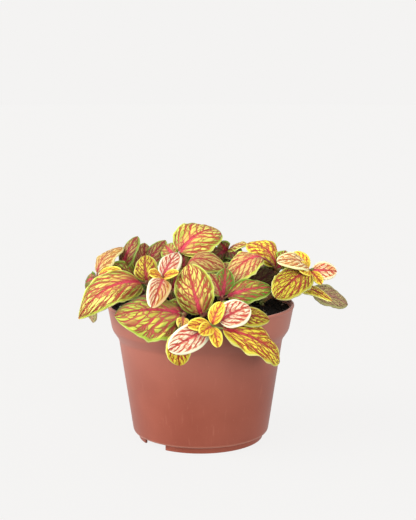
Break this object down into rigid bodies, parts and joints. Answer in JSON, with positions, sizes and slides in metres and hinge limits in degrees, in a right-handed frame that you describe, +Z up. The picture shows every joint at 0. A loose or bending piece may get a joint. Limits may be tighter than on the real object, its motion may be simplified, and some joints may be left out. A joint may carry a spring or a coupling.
{
  "type": "potted nerve plant",
  "caption": "Nerve plant with yellow-green leaves and a net of pink veins, in a terracotta-coloured plastic nursery pot filled with dark soil.",
  "frame": {"origin": "on the pot's axis, at the underside of the resting pad in the middle of its floor, in the plane that the pot stands on", "axes": "+Z up along the pot's axis, -Y towards the side that the picture shows, +X to the right in the picture"},
  "size_m": [0.1707, 0.1594, 0.1369],
  "materials": {
    "pot": "satin terracotta-coloured moulded plastic, slightly scuffed",
    "soil": "dark crumbly moist peat with a few pale perlite grains",
    "foliage": "soft satin leaf, yellow-green with pink and red veins"
  },
  "bodies": {
    "root": {"pot": "pot", "soil": "soil", "shoot_young_left": "foliage", "shoot_left_arm": "foliage", "shoot_left_out": "foliage", "shoot_left_back": "foliage", "shoot_front_left": "foliage", "shoot_front_young": "foliage", "shoot_centre_front": "foliage", "shoot_centre_right": "foliage", "shoot_centre_top": "foliage", "shoot_right_mid": "foliage", "shoot_right_young": "foliage", "shoot_back_top": "foliage", "shoot_inner_left": "foliage", "shoot_inner_right": "foliage", "shoot_back_right": "foliage", "shoot_back_mid_right": "foliage", "shoot_back_mid_left": "foliage", "shoot_back_left": "foliage", "shoot_upper_back_right": "foliage", "shoot_upper_back_mid": "foliage", "shoot_upper_back_left": "foliage"}
  },
  "joints": []
}
